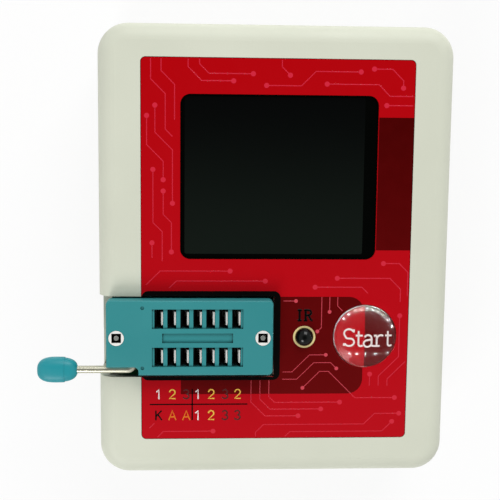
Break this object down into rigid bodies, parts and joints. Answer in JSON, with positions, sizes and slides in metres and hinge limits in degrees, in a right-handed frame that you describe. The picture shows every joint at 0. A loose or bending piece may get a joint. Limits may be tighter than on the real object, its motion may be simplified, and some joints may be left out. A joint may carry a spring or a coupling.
{
  "type": "component tester",
  "caption": "Handheld electronic component tester: ivory case, red label, display window, teal lever test socket, receiver eye and domed start button.",
  "frame": {"origin": "centre of the flat rear face of the case", "axes": "+X to the right seen from the front, +Y towards the display end, +Z out of the front face"},
  "size_m": [0.0821, 0.09, 0.0275],
  "materials": {
    "case_ivory": "fine matt moulded plastic, warm ivory",
    "label_red": "printed polyester film, glossy",
    "lens_dark": "smoked clear acrylic",
    "button_clear": "clear polished acrylic",
    "legend_print": "printed card",
    "socket_teal": "moulded thermoplastic, satin",
    "knob_teal": "moulded thermoplastic, satin",
    "contact_metal": "tin-plated spring bronze",
    "rod_steel": "nickel-plated steel",
    "receiver_black": "black infrared-passing epoxy",
    "screw_steel": "zinc-plated steel",
    "board_green": "solder mask over glass-epoxy laminate",
    "chip_black": "moulded epoxy",
    "foam_white": "closed-cell foam",
    "display_glass": "display cell with polarisers",
    "backlight_white": "moulded tray",
    "flex_amber": "polyimide flat cable",
    "battery_silver": "laminated pouch foil",
    "wire_red": "silicone insulated wire",
    "switch_plastic": "moulded plastic",
    "led_clear": "clear epoxy"
  },
  "bodies": {
    "case": {"front_shell": "case_ivory", "rear_shell": "case_ivory", "overlay_label": "label_red", "display_lens": "lens_dark", "lcd_glass": "display_glass", "lcd_backlight": "backlight_white", "lcd_spacer": "foam_white", "lcd_flex": "flex_amber", "main_board": "board_green", "board_screws": "screw_steel", "case_screws": "screw_steel", "zif_base": "socket_teal", "zif_cover": "socket_teal", "zif_contacts": "contact_metal", "zif_rivets": "contact_metal", "ir_receiver": "receiver_black", "ir_leads": "contact_metal", "switch_base": "switch_plastic", "switch_cover": "screw_steel", "switch_dome": "contact_metal", "switch_legs": "contact_metal", "usb_shell": "screw_steel", "usb_tongue": "switch_plastic", "charge_led": "led_clear", "battery_cell": "battery_silver", "battery_tape": "foam_white", "battery_leads": "wire_red", "mcu_chip": "chip_black", "mcu_pins": "contact_metal", "regulator_chip": "chip_black", "crystal": "screw_steel", "chip_resistors": "chip_black"},
    "lever": {"zif_lever": "rod_steel", "zif_lever_knob": "knob_teal"},
    "slider": {"zif_slider": "socket_teal"},
    "button": {"start_button": "button_clear", "start_legend": "legend_print", "start_button_base": "switch_plastic", "switch_plunger": "switch_plastic"}
  },
  "joints": [
    {"name": "lever_swing", "type": "hinge", "parent": "case", "child": "lever", "pos_m": [-0.0281, -0.0161, 0.0246], "axis": [0, 1, 0], "range_deg": [0, 90]},
    {"name": "slider_shift", "type": "slide", "parent": "case", "child": "slider", "axis": [1, 0, 0], "range_m": [0, 0.0006]},
    {"name": "button_press", "type": "slide", "parent": "case", "child": "button", "axis": [0, 0, -1], "range_m": [0, 0.0003], "stiffness_N_per_m": 6000, "deforming": ["switch_dome"]}
  ],
  "couplings": [
    {"joint": "lever_swing", "follows": "slider_shift", "rad_per_m": 2618}
  ]
}
